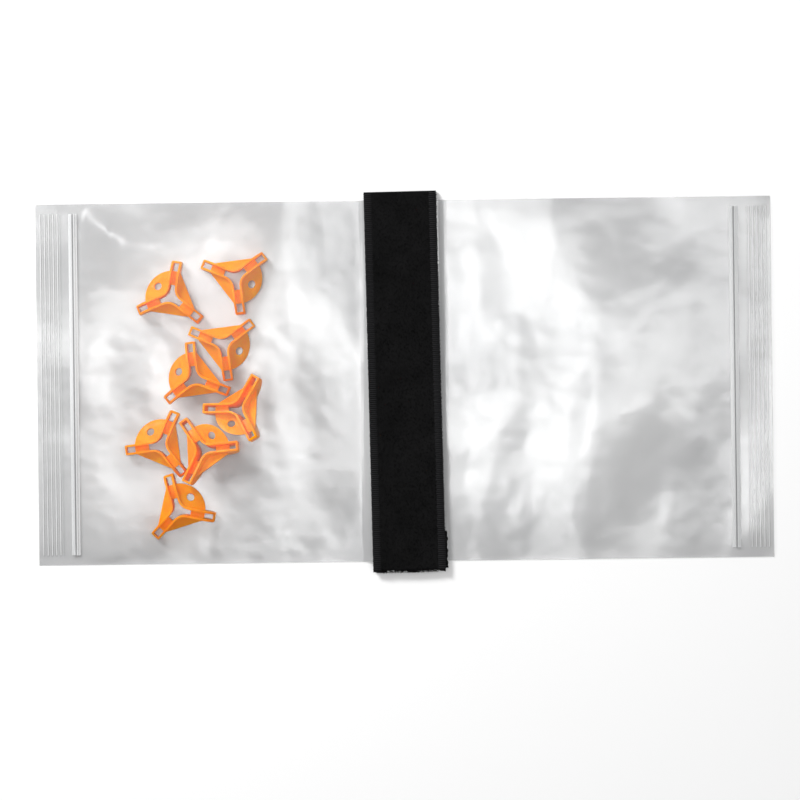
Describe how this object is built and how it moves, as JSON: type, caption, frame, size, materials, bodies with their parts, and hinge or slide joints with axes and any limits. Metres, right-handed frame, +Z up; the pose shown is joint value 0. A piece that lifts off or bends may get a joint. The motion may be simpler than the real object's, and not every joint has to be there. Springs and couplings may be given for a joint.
{
  "type": "leveling block set",
  "caption": "Small moulded three-armed leveling blocks in a clear zip pouch that a hook-and-loop strap parts into pockets.",
  "frame": {"origin": "under the middle of the pouch, on the surface that it lies on", "axes": "+X along the pouch from the pocket with the blocks to the empty pocket, +Y across the pouch, +Z up from the lying surface"},
  "size_m": [0.517, 0.2666, 0.0276],
  "materials": {
    "film": "satin translucent polyethylene film",
    "zip_plastic": "clear extruded polyethylene",
    "loop_tape": "black looped pile tape",
    "hook_tape": "black hook tape",
    "block_plastic": "glossy orange moulded plastic"
  },
  "bodies": {
    "left_pocket": {"left_back_film": "film", "left_front_film": "film", "left_zip_channel": "zip_plastic", "left_back_grip_ribs": "zip_plastic"},
    "left_mouth": {"left_mouth_film": "film", "left_zip_bead": "zip_plastic", "left_front_grip_ribs": "zip_plastic"},
    "strap": {"centre_back_film": "film", "centre_front_film": "film", "strap_loop_layer": "loop_tape", "strap_hook_layer": "hook_tape"},
    "strap_tab": {"tab_loop_layer": "loop_tape", "tab_hook_layer": "hook_tape"},
    "right_pocket": {"right_back_film": "film", "right_front_film": "film", "right_zip_channel": "zip_plastic", "right_back_grip_ribs": "zip_plastic"},
    "right_mouth": {"right_mouth_film": "film", "right_zip_bead": "zip_plastic", "right_front_grip_ribs": "zip_plastic"},
    "block_1": {"block_1": "block_plastic"},
    "block_2": {"block_2": "block_plastic"},
    "block_3": {"block_3": "block_plastic"},
    "block_4": {"block_4": "block_plastic"},
    "block_5": {"block_5": "block_plastic"},
    "block_6": {"block_6": "block_plastic"},
    "block_7": {"block_7": "block_plastic"},
    "block_8": {"block_8": "block_plastic"}
  },
  "joints": [
    {"name": "left_fold", "type": "hinge", "parent": "left_pocket", "child": "strap", "pos_m": [-0.0277, 0, 0.0022], "axis": [0, -1, 0], "range_deg": [0, 90]},
    {"name": "right_fold", "type": "hinge", "parent": "strap", "child": "right_pocket", "pos_m": [0.0277, 0, 0.0022], "axis": [0, -1, 0], "range_deg": [0, 90]},
    {"name": "strap_peel", "type": "hinge", "parent": "strap", "child": "strap_tab", "pos_m": [0.00053, -0.0383, 0.0043], "axis": [0.9999, 0.014, 0], "range_deg": [-120, 0]},
    {"name": "left_mouth_opening", "type": "hinge", "parent": "left_pocket", "child": "left_mouth", "pos_m": [-0.1653, 0, 0.0277], "axis": [0, 1, 0], "range_deg": [0, 15]},
    {"name": "right_mouth_opening", "type": "hinge", "parent": "right_pocket", "child": "right_mouth", "pos_m": [0.1653, 0, 0.0091], "axis": [0, -1, 0], "range_deg": [0, 15]},
    {"name": "block_1_slide", "type": "slide", "parent": "left_pocket", "child": "block_1", "axis": [-0.5, 0.866, 0], "range_m": [0, 0.025]},
    {"name": "block_2_slide", "type": "slide", "parent": "left_pocket", "child": "block_2", "axis": [1, 0, 0], "range_m": [0, 0.018]},
    {"name": "block_3_slide", "type": "slide", "parent": "left_pocket", "child": "block_3", "axis": [1, 0, 0], "range_m": [0, 0.012]},
    {"name": "block_4_slide", "type": "slide", "parent": "left_pocket", "child": "block_4", "axis": [-1, 0, 0], "range_m": [0, 0.025]},
    {"name": "block_5_slide", "type": "slide", "parent": "left_pocket", "child": "block_5", "axis": [1, 0, 0], "range_m": [0, 0.015]},
    {"name": "block_6_slide", "type": "slide", "parent": "left_pocket", "child": "block_6", "axis": [-0.5, 0.866, 0], "range_m": [0, 0.0045]},
    {"name": "block_7_slide", "type": "slide", "parent": "left_pocket", "child": "block_7", "axis": [0.866, -0.5, 0], "range_m": [0, 0.025]},
    {"name": "block_8_slide", "type": "slide", "parent": "left_pocket", "child": "block_8", "axis": [-1, 0, 0], "range_m": [0, 0.025]}
  ]
}
